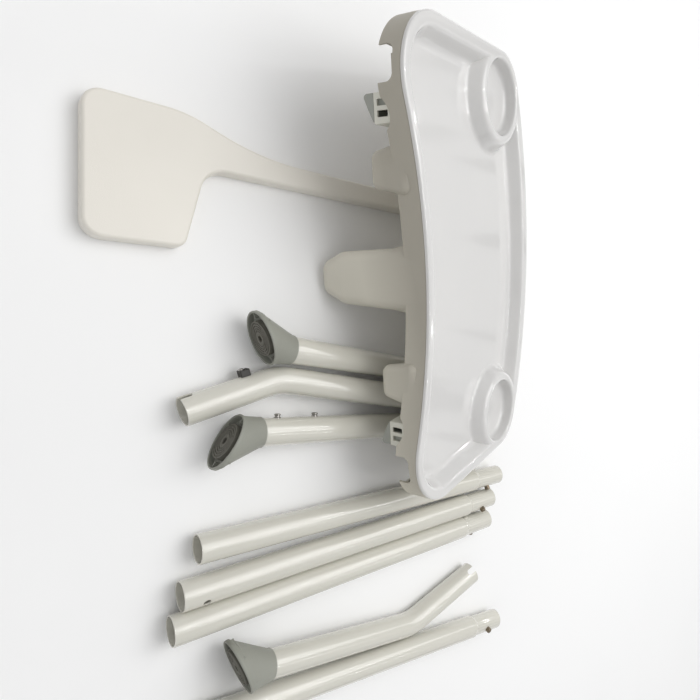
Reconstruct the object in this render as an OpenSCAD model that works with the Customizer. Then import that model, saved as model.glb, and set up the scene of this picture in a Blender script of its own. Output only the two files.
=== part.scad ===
// High chair taken apart and laid out on the floor: the tray with its insert and latches stands on
// its crotch post, with the footrest, four lower legs and four long leg tubes round it.
// +X runs across the layout, +Y away from its open front, +Z up from the floor.

/* [Leg tubes] */
// Outside diameter of every leg tube
tube_d = 28.6; // [26:0.1:29]
// Wall thickness of every leg tube
tube_wall = 1.5; // [1.2:0.1:1.8]
// Length of a long leg tube with its swaged end
long_len = 414; // [390:1:440]
// Length of the swaged end that plugs into the next tube
swage_len = 46; // [42:1:52]
// Length of the cone between a tube and its swaged end
shoulder_len = 3; // [2:0.5:5]
// Radial play of a swaged end inside the next tube
plug_play = 0.15; // [0.1:0.05:0.25]
// Free gap between the two long tubes that lie side by side
side_gap = 0.4; // [0.3:0.1:1]

/* [Snap buttons] */
// Diameter of a snap button
button_d = 7; // [6:0.5:8]
// How far a snap button stands out of its tube, which is its travel
button_out = 5.5; // [4.5:0.5:6]
// Distance from an open end to its button hole, and from a long tube's shoulder to its button
button_back = 20; // [18:0.5:23]
// Radial play round a button in its hole
button_play = 0.08; // [0.05:0.01:0.1]
// Thickness of the leaf spring under a button
leaf_t = 0.8; // [0.6:0.1:1]
// Width of the leaf spring under a button
leaf_w = 8; // [6:0.5:9]

/* [Lower legs] */
// Length of a lower leg from its foot cup to the bend
foot_run = 190; // [180:1:200]
// Length of the first and fourth lower legs from the bend to their open ends
open_run = 112; // [106:1:125]
// The same length on the second and third lower legs
short_run = 96; // [95:1:99]
// Angle of the bend
bend = 26; // [23:1:28]
// Radius of the bend on the centre line
bend_r = 60; // [50:1:80]
// Width of the key notch in the open end
notch_w = 7; // [6:0.5:9]
// Length of the key notch in the open end
notch_len = 12; // [9:1:14]
// Diameter of a stud head for the leg brace
stud_d = 7; // [6:0.5:8]
// How far a stud head stands out
stud_out = 4; // [3:0.5:5]

/* [Foot cups] */
// Distance from the edge of a foot cup to the middle of its opening
cup_len = 35; // [32:1:38]
// Half width of the opening across its slant
mouth_a = 28.4; // [27:0.1:30]
// Half height of the opening
mouth_b = 26; // [25:0.1:28]
// Sideways shift of the opening from the tube's axis
mouth_shift = 6; // [4:0.5:8]
// Angle by which the opening is cut more obliquely than the bend
stance = 2; // [0:0.5:4]
// Wall thickness of a foot cup
cup_wall = 2.2; // [1.8:0.1:2.6]
// Lip of a foot cup over the tube
cup_lip = 1; // [0.8:0.1:1.4]
// Diameter of the rubber pad
pad_d = 36; // [32:0.5:38]
// Thickness of the rubber pad
pad_t = 7; // [6:0.5:8]
// How far the rubber pad stands proud of the cup's opening
pad_out = 0.8; // [0.5:0.1:1.2]

/* [Tray] */
// Width of the tray
tray_w = 501; // [490:1:510]
// How far the middle of the child's edge lies in front of the tray's centre
tray_near = 78; // [74:1:84]
// How far the lobes of the child's edge reach beyond its middle
tray_lobe = 32; // [28:1:35]
// How far the middle of the far edge lies behind the tray's centre
tray_far = 193; // [186:1:200]
// Corner radius on the child's side
near_r = 60; // [54:1:64]
// Corner radius on the far side, which goes round the cup recess
far_r = 51.5; // [50:0.5:54]
// Radius of the far edge's curve
far_arc_r = 589; // [570:1:620]
// Height of the tray's skirt, with the insert's rim
skirt_h = 30; // [28:0.5:32]
// Wall thickness of the tray's skirt and deck
tray_wall = 2.5; // [2:0.1:3]
// Depth of the food well
well_depth = 18; // [16:0.5:19]
// Wall thickness of the glossy insert
insert_wall = 2; // [1.6:0.1:2.4]
// Thickness of the insert's rim
rim_t = 4; // [3:0.5:5]
// Diameter of a cup recess
recess_d = 85; // [80:1:88]
// Depth of a cup recess
recess_depth = 16; // [13:0.5:16]
// Gap between the insert and the tray base
insert_gap = 0.3; // [0.2:0.1:0.5]

/* [Crotch post] */
// Distance of the post's tip below the rim
post_len = 137; // [132:1:145]
// How far the post's tip lies in front of the tray's centre
post_front = 75; // [70:1:80]
// Width of the crotch post at its root
post_w = 70; // [62:1:74]
// Width of the crotch post near its tip
post_tip_w = 58; // [50:1:60]
// Thickness of the crotch post
post_t = 26; // [22:1:30]

/* [Tray latches] */
// Distance of a latch from the tray's centre line
latch_x = 164; // [161:0.5:166]
// Length of a latch housing across the tray
latch_l = 28; // [27:0.5:30]
// Depth of a latch housing
latch_w = 26; // [24:0.5:28]
// Height of a latch housing below the deck
latch_h = 22; // [19:0.5:24]
// Wall thickness of a latch housing
latch_wall = 2.5; // [2:0.1:3]
// Travel of a latch lever
latch_travel = 6; // [4:0.5:6.5]
// Sliding gap round a latch lever
latch_gap = 0.3; // [0.25:0.05:0.4]
// Width of the bolt that holds the armrest
bolt_w = 10; // [8:0.5:12]
// Radius of the round notch in the skirt over a latch
notch_r = 18; // [16:0.5:19]
// Distance of that notch from the tray's centre line
notch_x = 157; // [154:0.5:160]

/* [Footrest] */
// Thickness of the footrest
rest_t = 18; // [16:0.5:20]
// Width of the footrest's arm
arm_w = 22; // [20:1:26]
// Width of the footrest's plate
rest_w = 124.5; // [118:0.5:132]
// Depth of the footrest's plate
rest_depth = 72; // [60:1:80]
// Length of the footrest's arm behind the plate
arm_len = 354; // [345:1:360]
// Diameter of the pin hole in the arm's end
lug_hole = 8; // [6:0.5:10]
// Depth of the arm's upturned end
lug_depth = 30; // [26:1:34]
// Gap between the upturned end and the tray above it
lug_gap = 6.5; // [6:0.5:9]

/* [Hidden] */
$fn = 64;

// Roll and turn of the tray as it leans, and where its post stands
tray_roll = 9.9;
tray_turn = 10.9;
tip_x = -73.5;
tip_y = 319.9;
// Middle of the layout on the floor; the pieces' places are counted from the post
mid_x = tip_x + 95.996;
mid_y = tip_y + 28.78;

// Long tubes: how far their open ends lie forward, their headings and the sides their buttons face
tube_y = [tip_y - 148.9, tip_y - 163.9, tip_y - 171.9, tip_y - 151.9];
tube_head = [-0.75, -2.04, -2.04, 5.6];
button_roll = [24, 52, -18, 70];
fan_gap = 10.9;
second_x = tip_x + 299;
lane_gap = 4.2;
tube_x = [second_x - tube_d - fan_gap, second_x, second_x + (tube_d + side_gap) / cos(tube_head[1]),
          tip_x + 388.7 + tube_d + lane_gap];

// Lower legs: place of the bend, heading of the open end, side of the foot, side of the notch
leg_x = [tip_x + 101, tip_x + 103.5, tip_x + 165.5, tip_x + 416];
leg_y = [tip_y + 128.1, tip_y - 69.9, tip_y + 97, tip_y + 105.1];
leg_head = [-17.5, 163.8, 29, -17.6];
leg_side = [-1, -1, 1, -1];
leg_open = [open_run, short_run, short_run, open_run];
notch_roll = [140, 20, 140, 140];

// Radii of the tubes
tube_r = tube_d / 2;
bore_r = tube_r - tube_wall;
swage_r = bore_r - plug_play;
swage_bore_r = swage_r - tube_wall;
shoulder_y = long_len - swage_len;
button_y = shoulder_y + button_back;

// Snap button, measured outwards from the tube's axis
button_r = button_d / 2;
flange_r = button_r + 1.5;
flange_t = 1.2;
flange_top = sqrt(pow(swage_bore_r, 2) - pow(flange_r, 2)) - 0.2;
button_top = swage_r + button_out;
dome_h = 1.6;
leaf_in = flange_top - flange_t - 0.1;
leaf_out = sqrt(pow(swage_bore_r, 2) - pow(leaf_w / 2, 2)) - 0.1;
leaf_back = button_back;
leaf_front = 8;
// Pressed key on the swage, which enters the notch of the mating tube
key_w = 4;
key_l = 6;
key_h = 1.2;

// Overlap of the bend with the straights beside it, and how much thicker it is
bend_lap = 1;
bend_swell = 0.05;

// Foot end of a lower leg, raised until its cup stands on the floor
foot_reach = foot_run + cup_len;
foot_x = foot_reach * sin(bend) + mouth_shift * cos(bend);
function rim_drop(r) = norm([mouth_a * sin(r) * cos(stance), mouth_b * cos(r)]);
function foot_roll(r, n) = n == 0 ? r
    : foot_roll(asin((rim_drop(r) - tube_r - bend_swell + 0.01) / foot_x), n - 1);
leg_roll = foot_roll(5, 12);
mouth_cut = bend + stance;
bend_t = bend_r * tan(bend / 2);
plug_in = 14;
cavity_depth = 9;
groove_n = 4;
screw_r = 3.2;

// Outline of the tray, as circles that touch one another
half_w = tray_w / 2;
post_round = 8;
lobe_x = half_w - near_r;
lobe_y = -tray_near - tray_lobe + near_r;
near_arc_r = (pow(lobe_x, 2) + pow(tray_lobe, 2)) / (2 * tray_lobe) - near_r;
near_c = -tray_near - near_arc_r;
near_a = atan2(lobe_x, lobe_y - near_c);
far_c = tray_far - far_arc_r;
cup_x = half_w - far_r;
cup_y = far_c + sqrt(pow(far_arc_r - far_r, 2) - pow(cup_x, 2));
far_a = atan2(cup_y - far_c, cup_x);
recess_r = recess_d / 2;

// Heights in the tray, below its rim
deck_top = -well_depth - insert_wall - insert_gap;
deck_low = deck_top - tray_wall;
seat_z = -rim_t - insert_gap;
skirt_edge = 1;
well_in = 12;
well_slope = 10;
well_shift = -3;
boss_top = 7;
boss_foot = 18;

// Armrest channels in the child's edge
channel_gap = 4;
channel_in = latch_x + latch_l / 2 + channel_gap;
channel_out = 214;
channel_top = -13;
channel_y = -77;
channel_drop = 13;

// Latches under the deck, just behind the skirt; x runs outwards and z up from the deck's underside
latch_y = -tray_near + 7.5 - latch_w / 2;
latch_end = latch_l / 2;
housing_top = 5.5;
bolt_z = -latch_h + 9;
bolt_h = 6;
bolt_out = channel_gap + 4;
lever_drop = 12;
lever_room = 5;
lever_back = latch_end - latch_wall - latch_gap - (latch_l - 2 * latch_wall - latch_travel - lever_room);
spring_r = 3;
spring_wire = 0.45;
latch_screw_y = latch_w / 2 - 4;
latch_screw_r = 1.6;

// Footrest
rest_y = tip_y - 239.9;
arm_x = tip_x - 108;
rest_round = 16;
lug_y = rest_y + rest_depth + arm_len;
flare_y = rest_y + 194;
flare_r = 240;
flare_a = 21.4;
hip_r = 90;
side_a = 14;
lug_drop = 0.6;

// One point of an arc, with its angle measured from +X
function on_arc(c, r, a) = [c[0] + r * cos(a), c[1] + r * sin(a)];
function arc(c, r, a0, a1, n) = [for (i = [0:n]) on_arc(c, r, a0 + (a1 - a0) * i / n)];
function flip(p) = [for (i = [len(p) - 1:-1:0]) [-p[i][0], p[i][1]]];

// Right half of the tray's outline, drawn in by d, from the child's edge to the far edge
function tray_half(d) = concat(
    arc([0, near_c], near_arc_r + d, 90, 90 - near_a, 7),
    arc([lobe_x, lobe_y], near_r - d, -90 - near_a, 0, 8),
    arc([cup_x, cup_y], far_r - d, 0, far_a, 6),
    arc([0, far_c], far_arc_r - d, far_a, 90, 8));
function tray_outline(d) = let (h = tray_half(d), l = flip(h))
    concat(h, [for (i = [1:len(l) - 2]) l[i]]);

// Upright slab of the tray's outline, drawn in by d
module tray_slab(d, z, h) translate([0, 0, z]) linear_extrude(h) polygon(tray_outline(d));

// Shell through rings of the outline, from its underside over the rim to its floor, each [inset, height, shift]
module tray_solid(levels) {
    rings = [for (v = levels) [for (p = tray_outline(v[0])) [p[0], p[1] + v[2], v[1]]]];
    n = len(rings[0]);
    m = len(rings);
    points = [for (r = rings) for (p = r) p];
    sides = [for (k = [0:m - 2]) for (i = [0:n - 1])
        [k * n + i, (k + 1) * n + i, (k + 1) * n + (i + 1) % n, k * n + (i + 1) % n]];
    low = [for (i = [0:n - 1]) i];
    high = [for (i = [n - 1:-1:0]) (m - 1) * n + i];
    polyhedron(points, concat([low, high], sides), convexity = 8);
}

// Lean of the tray about its post's tip, found so that the far corner just touches the floor
tip_r = post_t / 2;
tip = [post_tip_w / 2 - tip_r - post_round, -post_front, -post_len + tip_r];
function up_row(a) = [-sin(tray_roll), cos(tray_roll) * sin(a), cos(tray_roll) * cos(a)];
function corner_height(a) = up_row(a) * ([cup_x, cup_y, -skirt_h] - tip) + tip_r
    - far_r * norm([up_row(a)[0], up_row(a)[1]]);
function lean(lo, hi, n) = n == 0 ? (lo + hi) / 2 : corner_height((lo + hi) / 2) > 0
    ? lean(lo, (lo + hi) / 2, n - 1) : lean((lo + hi) / 2, hi, n - 1);
tray_lean = lean(-30, -5, 40);

module tray_pose()
    translate([tip_x, tip_y, tip_r]) rotate([tray_lean, tray_roll, tray_turn]) translate(-tip) children();

// Height above the floor of the tray's plane z over a point of the floor
up = up_row(tray_lean);
side = [cos(tray_turn) * cos(tray_roll),
        cos(tray_turn) * sin(tray_roll) * sin(tray_lean) - sin(tray_turn) * cos(tray_lean),
        cos(tray_turn) * sin(tray_roll) * cos(tray_lean) + sin(tray_turn) * sin(tray_lean)];
back = [sin(tray_turn) * cos(tray_roll),
        sin(tray_turn) * sin(tray_roll) * sin(tray_lean) + cos(tray_turn) * cos(tray_lean),
        sin(tray_turn) * sin(tray_roll) * cos(tray_lean) - cos(tray_turn) * sin(tray_lean)];
function plane_height(x, y, z) = let (p = [0, 0, z] - tip)
    tip_r + up * p - (side[2] * (x - tip_x - side * p) + back[2] * (y - tip_y - back * p)) / up[2];

module frame() translate([-mid_x, -mid_y, 0]) children();

// Tube pieces stand along +Y in their own frames
module along_y() rotate([-90, 0, 0]) children();
module turned(angle) rotate([0, -angle, 0]) children();

// Rounded bar across X, for cut-outs in the skirt
module bar_y(w, h, r, depth) {
    rotate([90, 0, 0]) linear_extrude(depth) {
        square([w - 2 * r, 2 * h], center = true);
        square([w, 2 * (h - r)], center = true);
        for (s = [-1, 1]) translate([s * (w / 2 - r), h - r]) circle(r);
    }
}

module crotch_post() {
    root_y = -tray_near + post_t / 2 + 1;
    hull() {
        for (s = [-1, 1]) {
            translate([s * (post_w / 2 - tip_r), root_y, deck_low - 3]) cylinder(r = tip_r, h = 5, $fn = 32);
            translate([s * (post_tip_w / 2 - tip_r), -post_front, -post_len + 2 * tip_r + 4])
                sphere(r = tip_r, $fn = 32);
            translate([s * tip[0], tip[1], tip[2]])
                sphere(r = tip_r, $fn = 32);
        }
    }
}

// Bulge of the tray's underside next to the crotch post
module hump(s) {
    hump_x = 110;
    hump_r = 9;
    hump_low = 60;
    hull() {
        for (k = [-1, 1]) {
            translate([s * hump_x + k * 16, -tray_near - 4, deck_low - 2]) cylinder(r = hump_r, h = 4, $fn = 24);
            translate([s * hump_x + k * 10, -tray_near - 2, -hump_low + hump_r]) sphere(r = hump_r, $fn = 24);
        }
    }
}

module tray_base() {
    color([0.72, 0.7, 0.66]) tray_pose() {
        difference() {
            union() {
                difference() {
                    union() {
                        tray_slab(0, -skirt_h, skirt_h + seat_z - skirt_edge);
                        tray_slab(skirt_edge / 2, -skirt_h + 1, skirt_h + seat_z - 1);
                    }
                    tray_slab(tray_wall, deck_top, -deck_top + 1);
                    tray_slab(tray_wall, -skirt_h - 1, skirt_h + 1 + deck_low);
                }
                crotch_post();
                for (s = [-1, 1]) {
                    hump(s);
                    // Wall at the back of the armrest channel
                    translate([s * (channel_in + channel_out) / 2 - (channel_out - channel_in) / 2, channel_y,
                               deck_low - channel_drop])
                        cube([channel_out - channel_in, tray_wall, channel_drop + tray_wall / 2]);
                }
            }
            for (s = [-1, 1]) {
                // Armrest channel through the lobe of the skirt
                translate([s * (channel_in + channel_out) / 2, channel_y, -skirt_h - 1])
                    bar_y(channel_out - channel_in, skirt_h + 1 + channel_top, 8, 60);
                // Round notch for the latch
                translate([s * notch_x, -tray_near - 15, deck_low - notch_r - 0.4]) rotate([90, 0, 0])
                    cylinder(r = notch_r, h = 60);
                // Screw holes for the latch housing
                for (k = [-1, 1]) translate([s * latch_x, latch_y + k * latch_screw_y, deck_low - 1])
                    cylinder(r = latch_screw_r + 0.1, h = tray_wall + 2, $fn = 24);
            }
        }
    }
}

module tray_insert() {
    under = well_depth + insert_wall;
    rim_in = tray_wall + 1.5;
    color([0.93, 0.93, 0.93]) tray_pose() difference() {
        union() {
            tray_solid([[well_in + well_slope, -under, well_shift],
                        [well_in - insert_wall, -rim_t, well_shift],
                        [rim_in, -rim_t, 0], [0, -rim_t, 0], [0, -1.6, 0], [0.5, -0.6, 0], [1.6, 0, 0],
                        [well_in, 0, well_shift], [well_in + 1, -0.5, well_shift],
                        [well_in + 2, -1.6, well_shift], [well_in + well_slope, -well_depth + 0.6, well_shift],
                        [well_in + well_slope + 1.6, -well_depth, well_shift]]);
            // Sloping boss round each cup recess, which also makes its wall
            intersection() {
                tray_slab(far_r - recess_r - insert_wall, -under + 0.1, under - 0.2);
                for (s = [-1, 1]) translate([s * cup_x, cup_y, -under])
                    cylinder(r1 = recess_r + boss_foot, r2 = recess_r + boss_top, h = under);
            }
        }
        for (s = [-1, 1]) translate([s * cup_x, cup_y, -recess_depth])
            cylinder(r = recess_r, h = recess_depth + 1);
    }
}

module latch_pose(s) tray_pose() translate([s * latch_x, latch_y, deck_low]) scale([s, 1, 1]) children();

// White housing of a tray latch, open below, with a window for its bolt
module latch_housing(s) {
    inner_l = latch_l - 2 * latch_wall;
    inner_w = latch_w - 2 * latch_wall;
    color([0.9, 0.9, 0.88]) latch_pose(s) difference() {
        translate([-latch_end, -latch_w / 2, -latch_h]) cube([latch_l, latch_w, latch_h]);
        translate([-inner_l / 2, -inner_w / 2, -latch_h - 1]) cube([inner_l, inner_w, latch_h + 1 - housing_top]);
        // Window for the bolt, on the outer side
        translate([latch_end - latch_wall - 1, -bolt_w / 2 - latch_gap, bolt_z - bolt_h / 2 - latch_gap])
            cube([latch_wall + 2, bolt_w + 2 * latch_gap, bolt_h + 2 * latch_gap]);
        // Slots in the front and back walls
        for (x = [-8, 2]) translate([x, -latch_w / 2 - 1, -latch_h + 4])
            cube([6, latch_w + 2, latch_h - housing_top - 6]);
        for (k = [-1, 1]) translate([0, k * latch_screw_y, -housing_top - 1])
            cylinder(r = latch_screw_r + 0.02, h = housing_top + 2, $fn = 24);
    }
}

// Grey lever of a tray latch, drawn towards the tray's middle to release the armrest
module latch_lever(s) {
    half_w = latch_w / 2 - latch_wall - latch_gap;
    color([0.6, 0.61, 0.59]) latch_pose(s) {
        translate([lever_back, -half_w, -latch_h - 1])
            cube([latch_end - latch_wall - latch_gap - lever_back, 2 * half_w, bolt_z + bolt_h / 2 + latch_h + 2.5]);
        translate([lever_back + 1, -bolt_w / 2, bolt_z - bolt_h / 2])
            cube([latch_end + bolt_out - lever_back - 1, bolt_w, bolt_h]);
        translate([0, latch_w / 2 - 1, 0]) rotate([90, 0, 0]) linear_extrude(latch_w - 2) polygon([
            [-latch_end + 2, -latch_h - latch_gap], [-latch_end + 2, -latch_h - 2],
            [-latch_end + 7, -latch_h - 4.5], [latch_end - 4, -latch_h - lever_drop],
            [latch_end - 1.5, -latch_h - lever_drop + 0.5], [latch_end, -latch_h - lever_drop + 3],
            [latch_end, -latch_h - latch_gap]]);
    }
}

// Compression spring along +X from the origin
module coil(r, wire, length, turns) {
    steps = 12;
    sides = 6;
    n = steps * turns;
    points = [for (i = [0:n]) let (a = i * 360 / steps, x = wire + (length - 2 * wire) * i / n)
        for (k = [0:sides - 1]) let (q = r + wire * cos(k * 360 / sides))
            [x + wire * sin(k * 360 / sides), q * cos(a), q * sin(a)]];
    walls = [for (i = [0:n - 1]) for (k = [0:sides - 1])
        [i * sides + k, i * sides + (k + 1) % sides,
         (i + 1) * sides + (k + 1) % sides, (i + 1) * sides + k]];
    low = [for (k = [sides - 1:-1:0]) k];
    high = [for (k = [0:sides - 1]) n * sides + k];
    polyhedron(points, concat([low, high], walls), convexity = 10);
}

module latch_spring(s) {
    room = lever_back + latch_end - latch_wall;
    color("silver") latch_pose(s) translate([-latch_end + latch_wall + 0.1, 0, bolt_z])
        coil(spring_r, spring_wire, room - 0.2, 4);
}

module tray_screws() {
    color("silver") for (s = [-1, 1], k = [-1, 1]) latch_pose(s)
        translate([0, k * latch_screw_y, -housing_top - 1])
            cylinder(r = latch_screw_r, h = housing_top + 1 + tray_wall, $fn = 24);
}

// Footrest: a plate with one flared side, and an arm that ends in an upturned lug
module footrest_outline() {
    left = arm_x - arm_w / 2;
    right = arm_x + arm_w / 2;
    plate_top = rest_y + rest_depth;
    plate_left = left - 26;
    plate_right = plate_left + rest_w;
    corner = 10;
    fillet = 25;
    side_x = plate_right - corner + corner * sin(side_a);
    fillet_x = right + fillet - fillet * sin(side_a);
    fillet_y = plate_top + (corner + fillet) * cos(side_a) + (side_x - fillet_x) * tan(side_a);
    polygon(concat(
        [[right, lug_y - lug_depth], [left, lug_y - lug_depth]],
        arc([left - flare_r, flare_y], flare_r, 0, -flare_a, 8),
        arc([plate_left + hip_r, plate_top - 7], hip_r, 180 - flare_a, 180, 5),
        arc([plate_left + rest_round, rest_y + rest_round], rest_round, 180, 270, 6),
        arc([plate_right - rest_round, rest_y + rest_round], rest_round, 270, 360, 6),
        arc([plate_right - corner, plate_top], corner, 0, 90 - side_a, 5),
        arc([right + fillet, fillet_y], fillet, -90 - side_a, -180, 8)));
}

module footrest() {
    lug_top = plane_height(arm_x + arm_w / 2, lug_y - lug_depth / 2, deck_low) - lug_gap;
    lug_r = lug_depth / 2;
    top_r = lug_r - 6;
    color([0.9, 0.89, 0.86]) difference() {
        union() {
            linear_extrude(rest_t) footrest_outline();
            translate([arm_x - arm_w / 2, lug_y - lug_depth, 0]) cube([arm_w, lug_depth, lug_top - lug_r * 1.6]);
            translate([arm_x + arm_w / 2, lug_y, 0]) rotate([0, -90, 0]) linear_extrude(arm_w)
                polygon([[rest_t, -lug_depth - 12], [rest_t + 12, -lug_depth], [lug_top - lug_r * 1.6, -lug_depth],
                         [lug_top - 2 * top_r, -lug_depth + 6], [lug_top - top_r, -lug_r],
                         [lug_top - 2 * top_r, -6], [lug_top - lug_r * 1.6, 0], [0, 0], [0, -lug_depth - 12]]);
            translate([arm_x - arm_w / 2, lug_y - lug_r, lug_top - top_r - lug_drop]) rotate([0, 90, 0])
                cylinder(r = top_r, h = arm_w);
        }
        translate([arm_x - arm_w / 2 - 1, lug_y - lug_r, lug_top - top_r - lug_drop]) rotate([0, 90, 0])
            cylinder(d = lug_hole, h = arm_w + 2);
    }
}

// Long leg tube from its open end at the origin
module tube_pose(i) translate([tube_x[i], tube_y[i], tube_r]) rotate([0, 0, -tube_head[i]]) children();

module long_leg(i) {
    color([0.9, 0.88, 0.84]) tube_pose(i) difference() {
        union() {
            along_y() cylinder(r = tube_r, h = shoulder_y - shoulder_len);
            translate([0, shoulder_y - shoulder_len, 0]) along_y()
                cylinder(r1 = tube_r, r2 = swage_r, h = shoulder_len);
            translate([0, shoulder_y, 0]) along_y() cylinder(r = swage_r, h = swage_len);
            // Pressed key on the swage
            turned(button_roll[i] + 180) translate([swage_r - 1, shoulder_y + 1, -key_w / 2])
                cube([1 + key_h, key_l, key_w]);
        }
        translate([0, -1, 0]) along_y() cylinder(r = bore_r, h = shoulder_y - shoulder_len - 2 + 1);
        translate([0, shoulder_y - shoulder_len - 2, 0]) along_y()
            cylinder(r1 = bore_r, r2 = swage_bore_r, h = shoulder_len);
        translate([0, shoulder_y - 2.01, 0]) along_y() cylinder(r = swage_bore_r, h = swage_len + 4);
        // Holes for this tube's own button and for the next tube's
        turned(button_roll[i]) {
            translate([0, button_y, 0]) rotate([0, 90, 0])
                cylinder(r = button_r + button_play, h = tube_d, $fn = 48);
            translate([0, button_back, 0]) rotate([0, 90, 0])
                cylinder(r = button_r + button_play, h = tube_d, $fn = 48);
        }
    }
}

module snap_button(i) {
    color([0.55, 0.52, 0.46]) tube_pose(i) turned(button_roll[i]) translate([0, button_y, 0])
        rotate([0, 90, 0]) rotate_extrude($fn = 48) polygon(concat(
            [[0, flange_top - flange_t], [flange_r, flange_top - flange_t], [flange_r, flange_top],
             [button_r, flange_top], [button_r, button_top - dome_h]],
            [for (a = [15:15:75]) [button_r * cos(a), button_top - dome_h + dome_h * sin(a)]],
            [[0, button_top]]));
}

module snap_spring(i) {
    t = leaf_t;
    color("silver") tube_pose(i) turned(button_roll[i]) translate([0, button_y, -leaf_w / 2])
        linear_extrude(leaf_w) polygon([
            [-leaf_out, leaf_front], [-leaf_out, -leaf_back], [-leaf_out + 1.5 * t, -leaf_back - t],
            [leaf_in, -flange_r - 1], [leaf_in, leaf_front - 2], [leaf_in - t, leaf_front - 2],
            [leaf_in - t, -flange_r - 0.7], [-leaf_out + t, -leaf_back + 1.2 * t], [-leaf_out + t, leaf_front]]);
}

// Lower leg: the bend is at the origin and the open end lies along +Y
module leg_pose(i) translate([leg_x[i], leg_y[i], tube_r + bend_swell]) rotate([0, 0, -leg_head[i]])
    rotate([0, -leg_side[i] * leg_roll, 0]) scale([-leg_side[i], 1, 1]) children();

// Round bar through the bend; the bend itself is a hair thicker than the straights that run into it
module bent_bar(r, run_in, run_out) {
    translate([0, bend_t - bend_lap, 0]) along_y() cylinder(r = r, h = run_out - bend_t + bend_lap);
    translate([-bend_r, bend_t, 0]) rotate([0, 0, -bend]) rotate_extrude(angle = bend)
        translate([bend_r, 0]) circle(r + bend_swell);
    rotate([0, 0, -bend]) translate([0, -run_in, 0]) along_y()
        cylinder(r = r, h = run_in - bend_t + bend_lap);
}

module lower_leg(i) {
    color([0.9, 0.88, 0.84]) leg_pose(i) difference() {
        bent_bar(tube_r, foot_run + plug_in, leg_open[i]);
        bent_bar(bore_r, foot_run + plug_in + 1, leg_open[i] + 1);
        turned(notch_roll[i]) {
            // Key notch and button hole in the open end
            translate([bore_r - 3, leg_open[i] - notch_len + notch_w / 2, -notch_w / 2])
                cube([8, notch_len, notch_w]);
            translate([bore_r - 3, leg_open[i] - notch_len + notch_w / 2, 0]) rotate([0, 90, 0])
                cylinder(d = notch_w, h = 8, $fn = 32);
        }
        turned(notch_roll[i] + 180) translate([0, leg_open[i] - button_back, 0]) rotate([0, 90, 0])
            cylinder(r = button_r + button_play, h = tube_d, $fn = 48);
    }
}

// Frame at the foot end of a lower leg: origin at the cup's edge on the axis, +Y towards the bend
module foot_pose(i) leg_pose(i) rotate([0, 0, -bend]) translate([0, -foot_run, 0]) children();
// Frame of the cup's opening: +Z points out of it
module mouth_pose() translate([-mouth_shift, -cup_len, 0]) rotate([0, 0, mouth_cut]) rotate([90, 0, 0])
    children();

module foot_cup(i) {
    color([0.6, 0.6, 0.57]) foot_pose(i) difference() {
        hull() {
            translate([0, -2, 0]) along_y() cylinder(r = tube_r + cup_lip, h = 2, $fn = 32);
            mouth_pose() scale([mouth_a / mouth_b, 1, 1]) {
                translate([0, 0, -4]) cylinder(r = mouth_b, h = 3, $fn = 48);
                translate([0, 0, -1]) cylinder(r1 = mouth_b, r2 = mouth_b - 0.8, h = 1, $fn = 48);
            }
        }
        mouth_pose() scale([(mouth_a - cup_wall) / (mouth_b - cup_wall), 1, 1])
            translate([0, 0, -cavity_depth]) cylinder(r = mouth_b - cup_wall, h = cavity_depth + 1, $fn = 48);
        translate([0, -plug_in, 0]) along_y() cylinder(r = tube_r + 0.02, h = plug_in + 1);
        mouth_pose() translate([0, 0, -cavity_depth - 8]) cylinder(r = screw_r - 1.2, h = 9, $fn = 24);
    }
}

module foot_pad(i) {
    color([0.33, 0.33, 0.3]) foot_pose(i) mouth_pose() translate([0, 0, pad_out - pad_t]) difference() {
        union() {
            cylinder(d = pad_d, h = pad_t);
            translate([0, 0, -(cavity_depth + pad_out - pad_t)]) cylinder(d = pad_d * 0.6,
                h = cavity_depth + pad_out - pad_t);
        }
        for (k = [1:groove_n]) translate([0, 0, pad_t - 1]) rotate_extrude()
            translate([screw_r + 1.6 + k * (pad_d / 2 - screw_r - 3) / (groove_n + 0.5), 0]) square([1, 2]);
        translate([0, 0, -20]) cylinder(r = screw_r + 0.1, h = 40, $fn = 32);
    }
}

module foot_screw(i) {
    color([0.3, 0.3, 0.3]) foot_pose(i) mouth_pose() {
        translate([0, 0, -cavity_depth - 6]) cylinder(r = screw_r - 1.25, h = 7, $fn = 24);
        translate([0, 0, -cavity_depth]) cylinder(r = screw_r, h = 3, $fn = 32);
    }
}

// Plastic clip for the leg brace on the second lower leg, with its rivet
brace_y = 32;
module brace_pose() leg_pose(1) turned(brace_roll) translate([tube_r, brace_y, 0]) children();
brace_roll = 8;
module brace_clip() color([0.25, 0.25, 0.23]) brace_pose() difference() {
    translate([-1.2, -5, -5]) cube([7.7, 10, 10]);
    translate([-tube_r, -7, 0]) along_y() cylinder(r = tube_r + 0.02, h = 14);
}
module brace_rivet() color("silver") brace_pose() translate([6.5, 2, 0]) rotate([0, 90, 0])
    stud_head(stud_d * 0.8, 1.6);

module stud_head(d, h) rotate_extrude($fn = 32) polygon(concat([[0, 0]],
    [for (a = [0:15:75]) [d / 2 * cos(a), h * sin(a)]], [[0, h]]));

// Two studs for the leg brace on the third lower leg
stud_y = [17, 60];
module brace_studs() color("silver") foot_pose(2) difference() {
    for (y = stud_y) turned(8) translate([tube_r - 0.6, y, 0]) rotate([0, 90, 0]) {
        cylinder(d = stud_d, h = 0.8, $fn = 32);
        translate([0, 0, 0.8]) stud_head(stud_d, stud_out - 0.2);
    }
    along_y() cylinder(r = tube_r, h = foot_run / 2);
}

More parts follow.
